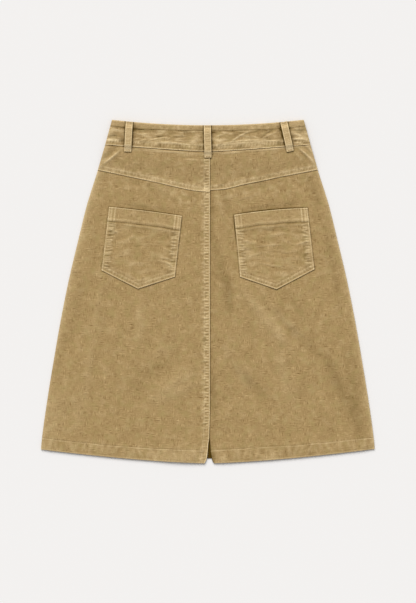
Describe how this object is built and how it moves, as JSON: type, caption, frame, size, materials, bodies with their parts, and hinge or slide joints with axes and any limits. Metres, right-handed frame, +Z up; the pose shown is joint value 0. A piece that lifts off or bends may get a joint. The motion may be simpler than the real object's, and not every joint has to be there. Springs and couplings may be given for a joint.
{
  "type": "a-line skirt",
  "caption": "Camel fine-wale corduroy a-line skirt laid flat, back upwards, with a yoke, patch pockets, belt loops and a hem slit.",
  "frame": {"origin": "centre of the skirt's box, on the surface it lies on", "axes": "+X to the right as seen from above with the waist away, +Y from hem to waist, +Z up out of the surface"},
  "size_m": [0.6404, 0.6591, 0.0152],
  "materials": {
    "corduroy": "matte, fine-wale pile",
    "button_brass": "satin, aged"
  },
  "bodies": {
    "root": {"back_left": "corduroy", "back_right": "corduroy", "yoke_left": "corduroy", "yoke_right": "corduroy", "pocket_left": "corduroy", "pocket_right": "corduroy", "waistband_back": "corduroy", "belt_loop_back_left": "corduroy", "belt_loop_back_centre": "corduroy", "belt_loop_back_right": "corduroy", "front_left": "corduroy", "front_right": "corduroy", "waistband_front_left": "corduroy", "waistband_front_right": "corduroy", "belt_loop_front_left": "corduroy", "belt_loop_front_right": "corduroy", "waist_button": "button_brass"}
  },
  "joints": []
}
